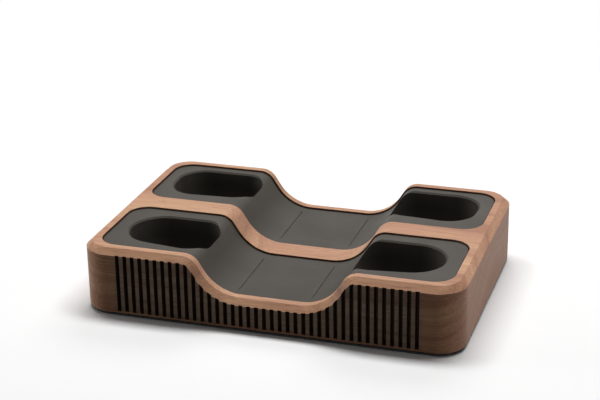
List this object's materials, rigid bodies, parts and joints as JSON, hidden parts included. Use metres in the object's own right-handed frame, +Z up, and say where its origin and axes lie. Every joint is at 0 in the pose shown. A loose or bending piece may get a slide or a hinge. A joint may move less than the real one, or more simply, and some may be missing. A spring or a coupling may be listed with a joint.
{
  "type": "controller stand",
  "caption": "Walnut desk stand with a fluted front and two soft moulded trays, whose pockets hold the grips of game controllers over a valley that runs front to back.",
  "frame": {"origin": "on the desk under the middle of the stand: the bottom face of the pad, at the middle of the block's width and depth", "axes": "+X to the right along the width, +Y to the rear, +Z up"},
  "size_m": [0.182, 0.1226, 0.0335],
  "materials": {
    "walnut": "oiled walnut, satin",
    "tray": "soft-touch moulded plastic",
    "pad": "matte anti-slip sheet",
    "screw": "zinc-plated steel"
  },
  "bodies": {
    "root": {"walnut_body": "walnut", "front_tray": "tray", "rear_tray": "tray", "base_pad": "pad", "tray_screw_1": "screw", "tray_screw_2": "screw", "tray_screw_3": "screw", "tray_screw_4": "screw", "tray_screw_5": "screw", "tray_screw_6": "screw", "tray_screw_7": "screw", "tray_screw_8": "screw"}
  },
  "joints": []
}
